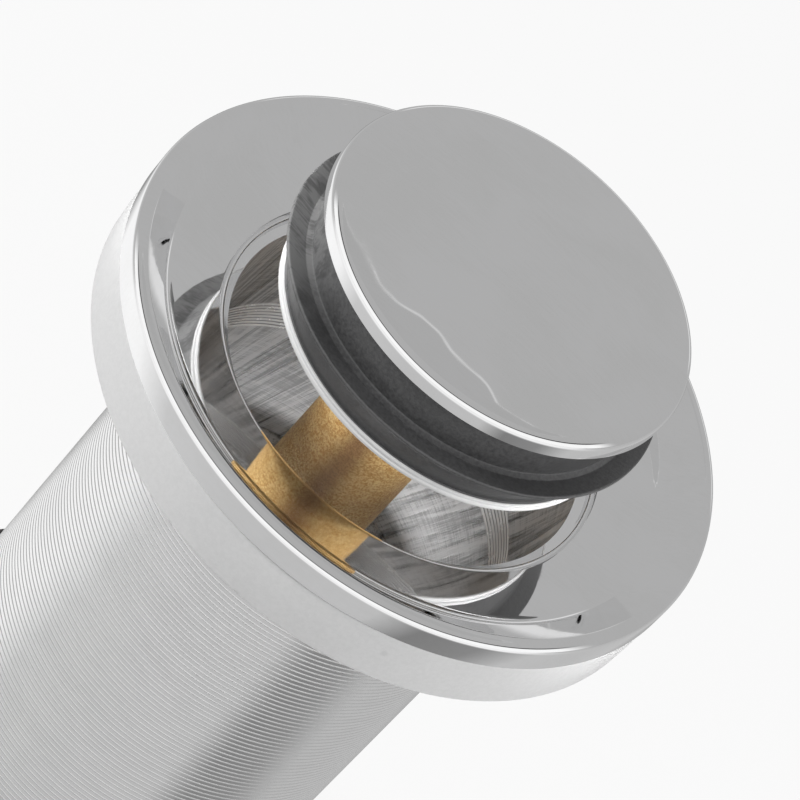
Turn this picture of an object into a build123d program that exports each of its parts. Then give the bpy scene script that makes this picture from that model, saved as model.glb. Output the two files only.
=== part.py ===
from build123d import *
import os
from math import cos, degrees, radians, sin, tan

# Pop up basin waste, pushed to open and pushed to close, standing on the end of its tail.
# Millimetres, +Z up, the origin at the middle of the tail's lower end, every piece on the Z axis.
# The plug is modelled raised, which is the open position.

# Clearances
close_fit = 0.05
easy_fit = 0.1
loose_fit = 0.15
rest_gap = 0.05

# Body: flange, lip, bore and tail
body_height = 90.0          # from the tail's end to the flange's top edge
flange_radius = 32.0
flange_edge = 3.35          # height of the flange's outer wall
edge_round = 1.0            # rounding between the outer wall and the rim
rim_width = 1.3             # from the outer wall in to where the dish begins
rim_round = 0.8             # rounding from the rim into the dish
dish_slope = 40.0           # degrees that the dish's outer part falls
dish_turn = 2.2             # rounding from there to the dish's flatter floor
dish_fall = 4.1             # from the flange's top edge down to the lip
floor_fall = 1.7            # how much of that the flatter floor falls
dish_wall = 3.2             # metal under the dish at the neck
seat_width = 2.4            # flat rim under the flange that presses on the washer
thread_radius = 20.955      # outside of the tail's fine thread, for a 1 1/4 inch trap
neck_step = 1.245           # the plain neck stands this far outside the thread
bore_wall = 1.455           # from the upper bore to the outside of the thread
lip_step = 0.95             # the lip stands this far outside the bore
lip_round = 0.55
lip_slope = 30.0            # degrees that the lead-in falls towards the bore
outlet_wall = 3.155         # from the lower bore to the outside of the thread
land_step = 0.9             # the land that carries the bridge stands this far inside the lower bore
land_height = 6.0
land_depth = 46.0           # from the flange's top edge down to the land
trap_length = 9.5           # lower stretch of the tail, which a trap's nut takes
relief_depth = 0.65
relief_width = 1.0
end_chamfer = 0.8
groove_count = 6            # turned grooves in the bore
groove_spacing = 0.6
groove_depth = 0.15
groove_start = 18.4         # from the flange's top edge down to the first groove

# Soft washer, back nut and what the nut presses up
washer_height = 6.25
washer_inset = 0.15         # from the flange's edge in to the washer's
washer_fit = 0.2
nut_wall = 4.045            # from the thread to a flat of the nut
nut_height = 6.5
nut_chamfer = 0.9
slip_height = 1.2
slip_width = 4.545          # from the thread to the slip washer's edge
gasket_height = 4.0
gasket_width = 5.045        # from the thread to the gasket's edge
gasket_round = 1.0

# Bridge across the bore, the ring over it, and the nut that locks the post
bridge_height = 6.0
bridge_rim = 2.4            # radial width of the bridge's outer ring
arm_count = 4
arm_width = 3.2
arm_height = 5.0
arm_chamfer = 0.6
boss_radius = 7.0
ring_height = 3.5
slot_count = 4
slot_width = 3.0
slot_depth = 1.6
post_washer_radius = 6.0
post_washer_height = 1.0
post_nut_flats = 10.0
post_nut_height = 3.2
post_nut_chamfer = 0.3
tip_length = 0.6            # of the post, below its nut

# Latch: ribs on the post, lugs on the rotor and the toothed crown below them
travel = 11.2               # from the raised plug to fully pushed in
push_gap = 0.8              # left under the sleeve when fully pushed in
post_thread_radius = 3.0
stem_radius = 2.6
lug_count = 3
lug_width = 1.05
lug_clearance = 0.4         # from the post's stem to a lug
rotor_wall = 0.8
rotor_height = 4.5
over_travel = 0.7           # fully pushed in, a lug's top is this far under its rib
tooth_height = 1.5
tooth_gap = 0.35
wall_gap_angle = 1.2        # degrees from a lug to the upright side of its tooth
head_height = 1.0
pin_radius = 2.0
pin_height = 3.0

# Plug: cap, seal, plate and the sleeve that slides on the post
seal_seat = 0.2             # fully pushed in, the seal's lip is this far above the flange's lip
seal_gap = 0.1              # and this far inside it
plate_gap = 1.05            # from the plate to the bore
plate_height = 1.0
plate_round = 0.3
seal_height = 9.3
seal_bore_radius = 12.0
seal_foot_inset = 0.45      # foot of the seal inside the plate's edge
seal_neck_inset = 0.65      # neck of the seal inside the plate's edge
seal_tip_rise = 3.9         # from the plate up to the seal's lip
seal_tip_edge = 0.45
seal_dip = 0.5              # from the top of the lip's edge down to the foot of the neck
seal_under_inset = 1.75     # from the lip's edge in to where its underside meets the side
seal_under_fall = 1.0
cap_inset = 0.8             # edge of the cap inside the seal's lip
cap_rim = 1.2               # upright part of the cap's rim
cap_round = 1.1
cap_crown = 1.35            # rise of the domed top
cap_boss_radius = 6.0
cap_boss_depth = 8.0
spigot_radius = 4.0
spigot_height = 8.6
spigot_chamfer = 0.5
sleeve_radius = 6.0
sleeve_length = 26.4
sleeve_wall = 1.1
sleeve_roof = 1.6           # metal over the sleeve's bore
sleeve_step = 0.4           # the spring's bore is this much narrower than the rotor's
sleeve_chamfer = 0.4
bush_height = 1.5
clip_height = 0.6
clip_depth = 0.35
clip_edge = 0.5             # metal below the clip's groove
clip_gap_angle = 50.0
thrust_height = 0.5
wire_radius = 0.4
spring_fit = 0.8
coil_turns = 5.5
wire_sides = 8              # the wire's round section is drawn with flats

# Radii worked out from the dimensions
neck_radius = thread_radius + neck_step
bore_radius = thread_radius - bore_wall
lip_radius = bore_radius + lip_step
outlet_radius = thread_radius - outlet_wall
land_radius = outlet_radius - land_step
seat_radius = flange_radius - seat_width
nut_flat_radius = thread_radius + nut_wall
slip_radius = thread_radius + slip_width
gasket_radius = thread_radius + gasket_width
insert_radius = bore_radius - close_fit
rim_radius = insert_radius - bridge_rim
post_hole_radius = post_thread_radius + close_fit
plate_radius = bore_radius - plate_gap
seal_tip_radius = lip_radius - seal_gap
cap_radius = seal_tip_radius - cap_inset
sleeve_bore_radius = sleeve_radius - sleeve_wall
spring_bore_radius = sleeve_bore_radius - sleeve_step
coil_radius = spring_bore_radius - spring_fit - wire_radius
rotor_radius = sleeve_bore_radius - easy_fit
rotor_bore_radius = rotor_radius - rotor_wall
rib_radius = rotor_bore_radius - easy_fit
crown_radius = rotor_bore_radius - close_fit
guide_bore_radius = rotor_bore_radius + loose_fit
guide_radius = sleeve_bore_radius - close_fit
lug_inner_radius = stem_radius + lug_clearance

# Heights worked out from the dimensions
seat_z = body_height - flange_edge
washer_bottom = seat_z - washer_height
lip_z = body_height - dish_fall
under_z = lip_z - dish_wall
relief_top = trap_length + relief_width
nut_bottom = relief_top + easy_fit
slip_bottom = nut_bottom + nut_height
gasket_bottom = slip_bottom + slip_height
land_top = body_height - land_depth
bridge_top = land_top + bridge_height
post_washer_bottom = land_top - post_washer_height
post_nut_bottom = post_washer_bottom - post_nut_height
plate_top = lip_z + seal_seat + travel - seal_tip_rise
plate_bottom = plate_top - plate_height
cap_bottom = plate_top + seal_height
spigot_top = plate_bottom + spigot_height
sleeve_bottom = plate_bottom - sleeve_length
sleeve_ceiling = plate_bottom - sleeve_roof
groove_bottom = sleeve_bottom + clip_edge
clip_bottom = groove_bottom + rest_gap
groove_top = clip_bottom + clip_height + rest_gap
rotor_bottom = groove_top + bush_height + rest_gap
rotor_top = rotor_bottom + rotor_height
thrust_bottom = rotor_top + rest_gap
thrust_top = thrust_bottom + thrust_height
head_bottom = rotor_top + easy_fit
head_top = head_bottom + head_height
boss_top = sleeve_bottom - travel - push_gap
rib_bottom = rotor_top - travel + over_travel
valley_z = rotor_bottom - travel - tooth_gap

# The rotor turns half a rib pitch over the travel, and the slopes fall at that rate across a lug
turn_angle = 180.0 / lug_count
turn_arc = radians(turn_angle) * (lug_inner_radius + rib_radius) / 2
slope_fall = travel * lug_width / turn_arc
tooth_fall = tooth_height * lug_width / turn_arc
lug_half_angle = degrees(lug_width / 2 / lug_inner_radius)

os.makedirs("parts", exist_ok=True)


# An upright plane facing outwards at an angle round the axis, its X along the turn and its Y up
def facing(angle, distance):
    outward = (cos(radians(angle)), sin(radians(angle)), 0)
    along = (-sin(radians(angle)), cos(radians(angle)), 0)
    return Plane(origin=(0, 0, 0), x_dir=along, z_dir=outward).offset(distance)


# Body: hollow flange, rounded lip, lead-in, bore, land and outlet, with the neck and tail outside
with BuildPart() as waste_body:
    dish_edge = (flange_radius - rim_width, body_height)
    floor_z = lip_z + floor_fall
    floor_edge = (dish_edge[0] - (body_height - floor_z) / tan(radians(dish_slope)), floor_z)
    dish_inner = (lip_radius + lip_round, lip_z)
    lip_edge = (lip_radius, lip_z - lip_round)
    wall_top = (flange_radius, body_height - edge_round)
    rim_top = (flange_radius - edge_round, body_height)
    with BuildSketch(Plane.XZ) as body_profile:
        with BuildLine():
            Polyline(rim_top, dish_edge, floor_edge, dish_inner)
            RadiusArc(dish_inner, lip_edge, -lip_round)
            Polyline(
                lip_edge,
                (bore_radius, lip_edge[1] - lip_step * tan(radians(lip_slope))),
                (bore_radius, land_top),
                (land_radius, land_top),
                (land_radius, land_top - land_height),
                (outlet_radius, land_top - land_height),
                (outlet_radius, 0),
                (thread_radius - end_chamfer, 0),
                (thread_radius, end_chamfer),
                (thread_radius, trap_length),
                (thread_radius - relief_depth, trap_length),
                (thread_radius - relief_depth, relief_top),
                (thread_radius, relief_top),
                (thread_radius, washer_bottom),
                (neck_radius, washer_bottom + neck_step),
                (neck_radius, under_z),
                (seat_radius, seat_z),
                (flange_radius, seat_z),
                wall_top,
            )
            RadiusArc(wall_top, rim_top, -edge_round)
        make_face()
        fillet(body_profile.vertices().sort_by_distance(dish_edge)[0], radius=rim_round)
        fillet(body_profile.vertices().sort_by_distance(floor_edge)[0], radius=dish_turn)
    revolve(axis=Axis.Z)
    groove_heights = [body_height - groove_start - k * groove_spacing for k in range(groove_count)]
    with BuildSketch(Plane.XZ):
        with Locations(*[(bore_radius, height) for height in groove_heights]):
            Polygon(
                (-groove_depth, groove_spacing / 2),
                (groove_depth, 0),
                (-groove_depth, -groove_spacing / 2),
                align=None,
            )
    revolve(axis=Axis.Z, mode=Mode.SUBTRACT)
waste_body.part.label = "waste_body"

# Soft washer under the flange, coned inside to clear the dish
with BuildPart() as flange_washer:
    with BuildSketch(Plane.XZ):
        with BuildLine():
            Polyline(
                (flange_radius - washer_inset, washer_bottom),
                (flange_radius - washer_inset, seat_z),
                (seat_radius + washer_fit, seat_z),
                (neck_radius + washer_fit, under_z),
                (neck_radius + washer_fit, washer_bottom),
                close=True,
            )
        make_face()
    revolve(axis=Axis.Z)
flange_washer.part.label = "flange_washer"

# Rubber gasket that the back nut presses against the underside of the basin
with BuildPart() as basin_gasket:
    with BuildSketch(Plane.XY.offset(gasket_bottom)):
        Circle(gasket_radius)
        Circle(thread_radius + loose_fit, mode=Mode.SUBTRACT)
    extrude(amount=gasket_height)
    top_edges = basin_gasket.faces().sort_by(Axis.Z)[-1].edges()
    fillet(top_edges.sort_by(SortBy.RADIUS)[-1], radius=gasket_round)
basin_gasket.part.label = "basin_gasket"

# Slip washer, so that the turning nut doesn't drag the gasket round
with BuildPart() as slip_washer:
    with BuildSketch(Plane.XY.offset(slip_bottom)):
        Circle(slip_radius)
        Circle(thread_radius + easy_fit, mode=Mode.SUBTRACT)
    extrude(amount=slip_height)
slip_washer.part.label = "slip_washer"

# Hexagonal back nut, its corners turned off above and below
with BuildPart() as back_nut:
    nut_corner = nut_flat_radius / cos(radians(30))
    with BuildSketch(Plane.XY.offset(nut_bottom)):
        RegularPolygon(radius=nut_flat_radius, side_count=6, major_radius=False)
        Circle(thread_radius + close_fit, mode=Mode.SUBTRACT)
    extrude(amount=nut_height)
    with BuildSketch(Plane.XZ):
        with BuildLine():
            Polyline(
                (0, nut_bottom),
                (nut_corner - nut_chamfer * 2, nut_bottom),
                (nut_corner, nut_bottom + nut_chamfer),
                (nut_corner, slip_bottom - nut_chamfer),
                (nut_corner - nut_chamfer * 2, slip_bottom),
                (0, slip_bottom),
                close=True,
            )
        make_face()
    revolve(axis=Axis.Z, mode=Mode.INTERSECT)
back_nut.part.label = "back_nut"

# Bridge: arms from a ring on the land to a central boss, tapped for the post
with BuildPart() as bridge_insert:
    with BuildSketch(*[facing((k + 0.5) * 360 / arm_count, 0) for k in range(arm_count)]):
        with BuildLine():
            Polyline(
                (-arm_width / 2, land_top),
                (arm_width / 2, land_top),
                (arm_width / 2, land_top + arm_height - arm_chamfer),
                (arm_width / 2 - arm_chamfer, land_top + arm_height),
                (arm_chamfer - arm_width / 2, land_top + arm_height),
                (-arm_width / 2, land_top + arm_height - arm_chamfer),
                close=True,
            )
        make_face()
    extrude(amount=(insert_radius + rim_radius) / 2)
    with BuildSketch(Plane.XY.offset(land_top)):
        Circle(insert_radius)
        Circle(rim_radius, mode=Mode.SUBTRACT)
    extrude(amount=bridge_height)
    with BuildSketch(Plane.XY.offset(land_top)):
        Circle(boss_radius)
    extrude(amount=boss_top - land_top)
    chamfer(bridge_insert.faces().sort_by(Axis.Z)[-1].edges(), arm_chamfer)
    with BuildSketch(Plane.XY.offset(land_top)):
        Circle(post_hole_radius)
    extrude(amount=boss_top - land_top, mode=Mode.SUBTRACT)
bridge_insert.part.label = "bridge_insert"

# Ring that holds the bridge down, with slots for a spanner
with BuildPart() as bridge_ring:
    with BuildSketch(Plane.XY.offset(bridge_top)):
        Circle(insert_radius)
        Circle(rim_radius, mode=Mode.SUBTRACT)
    extrude(amount=ring_height)
    with BuildSketch(Plane.XY.offset(bridge_top + ring_height - slot_depth)):
        with PolarLocations((insert_radius + rim_radius) / 2, slot_count):
            Rectangle(bridge_rim * 2, slot_width)
    extrude(amount=slot_depth, mode=Mode.SUBTRACT)
bridge_ring.part.label = "bridge_ring"

# Post: three ribs with sloped lower ends, the head that stops the raised plug, and the spring's pin
with BuildPart() as cam_post:
    with BuildSketch(*[facing(k * 360 / lug_count, stem_radius / 2) for k in range(lug_count)]):
        with BuildLine():
            Polyline(
                (-lug_width / 2, rib_bottom),
                (lug_width / 2, rib_bottom - slope_fall),
                (lug_width / 2, head_top),
                (-lug_width / 2, head_top),
                close=True,
            )
        make_face()
    extrude(amount=rib_radius)
    with BuildSketch(Plane.XY.offset(boss_top)):
        Circle(rib_radius)
    extrude(amount=head_top - boss_top, mode=Mode.INTERSECT)
    with BuildSketch(Plane.XZ):
        with BuildLine():
            Polyline(
                (0, post_nut_bottom - tip_length),
                (post_thread_radius, post_nut_bottom - tip_length),
                (post_thread_radius, valley_z),
                (stem_radius, valley_z),
                (stem_radius, head_bottom),
                (rib_radius, head_bottom),
                (rib_radius, head_top),
                (pin_radius, head_top),
                (pin_radius, head_top + pin_height),
                (0, head_top + pin_height),
                close=True,
            )
        make_face()
    revolve(axis=Axis.Z)
cam_post.part.label = "cam_post"

# Washer and locking nut under the bridge, on the post's lower end
with BuildPart() as post_washer:
    with BuildSketch(Plane.XY.offset(post_washer_bottom)):
        Circle(post_washer_radius)
        Circle(post_thread_radius + easy_fit, mode=Mode.SUBTRACT)
    extrude(amount=post_washer_height)
post_washer.part.label = "post_washer"

with BuildPart() as post_nut:
    post_nut_corner = post_nut_flats / 2 / cos(radians(30))
    with BuildSketch(Plane.XY.offset(post_nut_bottom)):
        RegularPolygon(radius=post_nut_flats / 2, side_count=6, major_radius=False)
        Circle(post_hole_radius, mode=Mode.SUBTRACT)
    extrude(amount=post_nut_height)
    with BuildSketch(Plane.XZ):
        with BuildLine():
            Polyline(
                (0, post_nut_bottom),
                (post_nut_corner - post_nut_chamfer * 2, post_nut_bottom),
                (post_nut_corner, post_nut_bottom + post_nut_chamfer),
                (post_nut_corner, post_washer_bottom),
                (0, post_washer_bottom),
                close=True,
            )
        make_face()
    revolve(axis=Axis.Z, mode=Mode.INTERSECT)
post_nut.part.label = "post_nut"

# One tooth of the crown: a slope across a sixth of a turn, cut to the crown's ring
with BuildPart() as tooth:
    tooth_reach = crown_radius * sin(radians(turn_angle / 2))
    with BuildSketch(facing(0, 0)):
        with BuildLine():
            Polyline(
                (-tooth_reach, valley_z),
                (tooth_reach, valley_z),
                (-tooth_reach, valley_z + tooth_height),
                close=True,
            )
        make_face()
    extrude(amount=crown_radius)
    with BuildSketch(Plane.XY.offset(valley_z)):
        Circle(crown_radius)
        Circle(post_hole_radius, mode=Mode.SUBTRACT)
        Polygon(
            (0, 0),
            (crown_radius * 2, -crown_radius * 2 * tan(radians(turn_angle / 2))),
            (crown_radius * 2, crown_radius * 2 * tan(radians(turn_angle / 2))),
            align=None,
            mode=Mode.INTERSECT,
        )
    extrude(amount=tooth_height, mode=Mode.INTERSECT)

# Crown that turns the rotor, a collar on the post with six sloping teeth
with BuildPart() as index_crown:
    with BuildSketch(Plane.XY.offset(boss_top)):
        Circle(crown_radius)
        Circle(post_hole_radius, mode=Mode.SUBTRACT)
    extrude(amount=valley_z - boss_top)
    with PolarLocations(0, lug_count * 2, start_angle=lug_half_angle + wall_gap_angle - turn_angle / 2):
        add(tooth.part)
index_crown.part.label = "index_crown"

# Rotor: a ring in the sleeve with three lugs that run between the post's ribs
with BuildPart() as latch_rotor:
    with BuildSketch(*[facing((k + 0.5) * 360 / lug_count, lug_inner_radius) for k in range(lug_count)]):
        with BuildLine():
            Polyline(
                (-lug_width / 2, rotor_top),
                (lug_width / 2, rotor_top - slope_fall),
                (lug_width / 2, rotor_bottom),
                (-lug_width / 2, rotor_bottom + tooth_fall),
                close=True,
            )
        make_face()
    extrude(amount=rotor_radius - lug_inner_radius - rotor_wall / 2)
    with BuildSketch(Plane.XY.offset(rotor_bottom)):
        Circle(rotor_radius)
        Circle(rotor_bore_radius, mode=Mode.SUBTRACT)
    extrude(amount=rotor_height)
latch_rotor.part.label = "latch_rotor"

# Washer over the rotor and guide bush below it
with BuildPart() as thrust_washer:
    with BuildSketch(Plane.XY.offset(thrust_bottom)):
        Circle(guide_radius)
        Circle(guide_bore_radius, mode=Mode.SUBTRACT)
    extrude(amount=thrust_height)
thrust_washer.part.label = "thrust_washer"

with BuildPart() as guide_bush:
    with BuildSketch(Plane.XY.offset(groove_top)):
        Circle(guide_radius)
        Circle(guide_bore_radius, mode=Mode.SUBTRACT)
    extrude(amount=bush_height)
guide_bush.part.label = "guide_bush"

# Open ring that snaps into the sleeve's groove
with BuildPart() as sleeve_clip:
    with BuildSketch(Plane.XZ):
        with BuildLine():
            Polyline(
                (guide_bore_radius + close_fit, clip_bottom),
                (sleeve_bore_radius + clip_depth - close_fit, clip_bottom),
                (sleeve_bore_radius + clip_depth - close_fit, clip_bottom + clip_height),
                (guide_bore_radius + close_fit, clip_bottom + clip_height),
                close=True,
            )
        make_face()
    revolve(axis=Axis.Z, revolution_arc=360 - clip_gap_angle)
sleeve_clip.part.label = "sleeve_clip"

# Sleeve: stepped bore for the rotor and the spring, and the spigot that carries plate, seal and cap
with BuildPart() as plug_sleeve:
    with BuildSketch(Plane.XZ):
        with BuildLine():
            Polyline(
                (sleeve_bore_radius, sleeve_bottom),
                (sleeve_radius - sleeve_chamfer, sleeve_bottom),
                (sleeve_radius, sleeve_bottom + sleeve_chamfer),
                (sleeve_radius, plate_bottom),
                (spigot_radius, plate_bottom),
                (spigot_radius, spigot_top - spigot_chamfer),
                (spigot_radius - spigot_chamfer, spigot_top),
                (0, spigot_top),
                (0, sleeve_ceiling),
                (spring_bore_radius, sleeve_ceiling),
                (spring_bore_radius, thrust_top + rest_gap),
                (sleeve_bore_radius, thrust_top + rest_gap),
                (sleeve_bore_radius, groove_top),
                (sleeve_bore_radius + clip_depth, groove_top),
                (sleeve_bore_radius + clip_depth, groove_bottom),
                (sleeve_bore_radius, groove_bottom),
                close=True,
            )
        make_face()
    revolve(axis=Axis.Z)
plug_sleeve.part.label = "plug_sleeve"

# Spring between the post's head and the closed end of the sleeve
with BuildPart() as return_spring:
    coil_height = sleeve_ceiling - head_top - wire_radius * 2
    with BuildLine():
        coil = Helix(
            pitch=coil_height / coil_turns,
            height=coil_height,
            radius=coil_radius,
            center=(0, 0, head_top + wire_radius),
        )
    with BuildSketch(Plane(origin=coil @ 0, z_dir=coil % 0)):
        RegularPolygon(radius=wire_radius, side_count=wire_sides)
    sweep(path=coil, is_frenet=True)
return_spring.part.label = "return_spring"

# Plate under the seal
with BuildPart() as seal_plate:
    with BuildSketch(Plane.XY.offset(plate_bottom)):
        Circle(plate_radius)
    extrude(amount=plate_height)
    fillet(seal_plate.edges(), radius=plate_round)
    with BuildSketch(Plane.XY.offset(plate_bottom)):
        Circle(spigot_radius + easy_fit)
    extrude(amount=plate_height, mode=Mode.SUBTRACT)
seal_plate.part.label = "seal_plate"

# Hub inside the seal
with BuildPart() as seal_core:
    with BuildSketch(Plane.XY.offset(plate_top)):
        Circle(seal_bore_radius - close_fit)
        Circle(cap_boss_radius + easy_fit, mode=Mode.SUBTRACT)
    extrude(amount=seal_height)
seal_core.part.label = "seal_core"

# Seal: a neck under the cap, then the lip that meets the flange's lip, then the foot on the plate
with BuildPart() as cap_seal:
    with BuildSketch(Plane.XZ):
        with BuildLine():
            Polyline(
                (seal_bore_radius, plate_top),
                (plate_radius - seal_foot_inset, plate_top),
                (seal_tip_radius - seal_under_inset, plate_top + seal_tip_rise - seal_under_fall),
                (seal_tip_radius, plate_top + seal_tip_rise),
                (seal_tip_radius, plate_top + seal_tip_rise + seal_tip_edge),
                (plate_radius - seal_neck_inset, plate_top + seal_tip_rise + seal_tip_edge - seal_dip),
                (plate_radius - seal_neck_inset, cap_bottom),
                (seal_bore_radius, cap_bottom),
                close=True,
            )
        make_face()
    revolve(axis=Axis.Z)
cap_seal.part.label = "cap_seal"

# Cap: domed top, upright rim and the boss that takes the sleeve's spigot
with BuildPart() as plug_cap:
    cap_edge = (cap_radius, cap_bottom + cap_rim)
    crown_edge = (cap_radius - cap_round, cap_bottom + cap_rim + cap_round)
    crown_top = (0, crown_edge[1] + cap_crown)
    with BuildSketch(Plane.XZ):
        with BuildLine():
            TangentArc(crown_top, crown_edge, tangent=(1, 0))
            RadiusArc(crown_edge, cap_edge, cap_round)
            Polyline(
                cap_edge,
                (cap_radius, cap_bottom),
                (cap_boss_radius, cap_bottom),
                (cap_boss_radius, cap_bottom - cap_boss_depth),
                (spigot_radius + close_fit, cap_bottom - cap_boss_depth),
                (spigot_radius + close_fit, spigot_top + spigot_chamfer),
                (0, spigot_top + spigot_chamfer),
                crown_top,
            )
        make_face()
    revolve(axis=Axis.Z)
plug_cap.part.label = "plug_cap"

pieces = [waste_body, flange_washer, basin_gasket, slip_washer, back_nut, bridge_insert, bridge_ring]
pieces += [cam_post, post_washer, post_nut, index_crown, latch_rotor, thrust_washer, guide_bush]
pieces += [sleeve_clip, plug_sleeve, return_spring, seal_plate, seal_core, cap_seal, plug_cap]
for piece in pieces:
    export_step(piece.part, f"parts/{piece.part.label}.step")
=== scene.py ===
from math import asin, cos, pi, radians, sin, tan

import bmesh
import bpy
from mathutils import Matrix, Vector


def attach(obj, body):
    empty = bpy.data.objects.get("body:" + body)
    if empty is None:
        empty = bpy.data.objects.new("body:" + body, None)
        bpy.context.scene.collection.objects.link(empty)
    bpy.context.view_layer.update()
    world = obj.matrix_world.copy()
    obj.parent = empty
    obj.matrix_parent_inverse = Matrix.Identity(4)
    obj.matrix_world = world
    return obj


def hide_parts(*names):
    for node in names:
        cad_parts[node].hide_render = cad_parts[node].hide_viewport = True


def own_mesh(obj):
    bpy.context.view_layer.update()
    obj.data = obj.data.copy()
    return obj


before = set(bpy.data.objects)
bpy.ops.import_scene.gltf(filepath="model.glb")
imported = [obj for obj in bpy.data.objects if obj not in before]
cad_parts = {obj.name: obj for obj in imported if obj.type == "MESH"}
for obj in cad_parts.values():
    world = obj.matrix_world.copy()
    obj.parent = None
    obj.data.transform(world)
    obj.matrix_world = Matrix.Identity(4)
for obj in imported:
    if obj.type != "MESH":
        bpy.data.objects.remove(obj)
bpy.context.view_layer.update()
print("frame loaded:", len(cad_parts), "nodes")

mm = 0.001
# Points closer together than this become one
weld = 0.002 * mm


# Shaping helpers. Profiles are lists of (radius, height) in millimetres, as the part is drawn.

def arcPoints(centre, radius, start, end, count):
    return [
        (centre[0] + radius * cos(radians(start + (end - start) * k / count)),
         centre[1] + radius * sin(radians(start + (end - start) * k / count)))
        for k in range(count + 1)
    ]


def rounded(profile, segments=4):
    # Corners given as (radius, height, rounding) become arcs; the others stay sharp
    points = []
    for k, corner in enumerate(profile):
        if len(corner) == 2 or corner[2] == 0:
            points.append(corner[:2])
            continue
        here = Vector(corner[:2])
        before = Vector(profile[k - 1][:2]) - here
        after = Vector(profile[(k + 1) % len(profile)][:2]) - here
        half = before.angle(after) / 2
        reach = min(corner[2] / tan(half), before.length * 0.49, after.length * 0.49)
        start = here + before.normalized() * reach
        end = here + after.normalized() * reach
        for step in range(segments + 1):
            t = step / segments
            points.append(tuple(start * (1 - t) ** 2 + here * 2 * t * (1 - t) + end * t ** 2))
    return points


def startRing(bm, profile, closed=True):
    verts = [bm.verts.new((r * mm, 0, z * mm)) for r, z in profile]
    pairs = list(zip(verts, verts[1:])) + ([(verts[-1], verts[0])] if closed else [])
    return verts + [bm.edges.new(pair) for pair in pairs]


def turn(bm, profile, steps, closed=True):
    # Spins a profile once round the axis
    geom = startRing(bm, profile, closed)
    bmesh.ops.spin(
        bm, geom=geom, cent=(0, 0, 0), axis=(0, 0, 1), angle=2 * pi, steps=steps, use_merge=True
    )


def finishMesh(bm, name, materials, body, nodes, sharp=32, paint=None):
    bmesh.ops.remove_doubles(bm, verts=bm.verts, dist=weld)
    bmesh.ops.recalc_face_normals(bm, faces=bm.faces)
    for face in bm.faces:
        face.smooth = True
        if paint:
            face.material_index = paint(face.calc_center_median() / mm)
    for edge in bm.edges:
        if len(edge.link_faces) == 2 and edge.calc_face_angle(0) > radians(sharp):
            edge.smooth = False
    mesh = bpy.data.meshes.new(name)
    bm.to_mesh(mesh)
    bm.free()
    piece = bpy.data.objects.new(name, mesh)
    bpy.context.scene.collection.objects.link(piece)
    for material in materials:
        mesh.materials.append(material)
    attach(piece, body)
    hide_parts(*nodes)
    return piece


# Material helpers

def feed(tree, socket, value):
    # Another node's output is linked, and a constant is set on the socket
    if hasattr(value, "is_output"):
        tree.links.new(value, socket)
    else:
        socket.default_value = value


def addNode(tree, kind, inputs=None, **settings):
    made = tree.nodes.new(kind)
    for name, value in settings.items():
        setattr(made, name, value)
    for name, value in (inputs or {}).items():
        feed(tree, made.inputs[name], value)
    return made


def calc(tree, operation, first, second=0.0, third=0.0):
    made = tree.nodes.new("ShaderNodeMath")
    made.operation = operation
    for socket, value in zip(made.inputs, (first, second, third)):
        feed(tree, socket, value)
    return made.outputs[0]


def ramp(tree, value, low, high, fromLow=0.0, fromHigh=1.0):
    return addNode(
        tree, "ShaderNodeMapRange",
        {"Value": value, "From Min": fromLow, "From Max": fromHigh, "To Min": low, "To Max": high},
        interpolation_type="SMOOTHSTEP",
    ).outputs[0]


def blendColours(tree, amount, first, second):
    made = addNode(tree, "ShaderNodeMix", data_type="RGBA")
    for socket, value in zip((made.inputs[0], made.inputs[6], made.inputs[7]), (amount, first, second)):
        feed(tree, socket, value)
    return made.outputs[2]


def grey(level):
    return (level, level, level, 1)


def newGroup(name, inputs, outputs):
    group = bpy.data.node_groups.new(name, "ShaderNodeTree")
    for label, value in inputs.items():
        group.interface.new_socket(label, in_out="INPUT", socket_type="NodeSocketFloat").default_value = value
    for label in outputs:
        group.interface.new_socket(label, in_out="OUTPUT", socket_type="NodeSocketFloat")
    return group, group.nodes.new("NodeGroupInput").outputs, group.nodes.new("NodeGroupOutput").inputs


def placeGroup(tree, group, **values):
    made = tree.nodes.new("ShaderNodeGroup")
    made.node_tree = group
    for name, value in values.items():
        made.inputs[name].default_value = value
    return made.outputs


def fromAxis(tree, place):
    squares = [calc(tree, "MULTIPLY", place[k], place[k]) for k in range(2)]
    return calc(tree, "SQRT", calc(tree, "ADD", *squares))


def directRays(tree, path):
    # 1 for rays that come from the camera or a reflection, 0 for the light that falls on things
    return calc(tree, "MAXIMUM", path["Is Camera Ray"],
                calc(tree, "MAXIMUM", path["Is Glossy Ray"], path["Is Transmission Ray"]))


def objectMillimetres(tree):
    coords = addNode(tree, "ShaderNodeTexCoord").outputs["Object"]
    return addNode(tree, "ShaderNodeVectorMath", {"Vector": coords, "Scale": 1000}, operation="SCALE").outputs[0]


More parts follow.
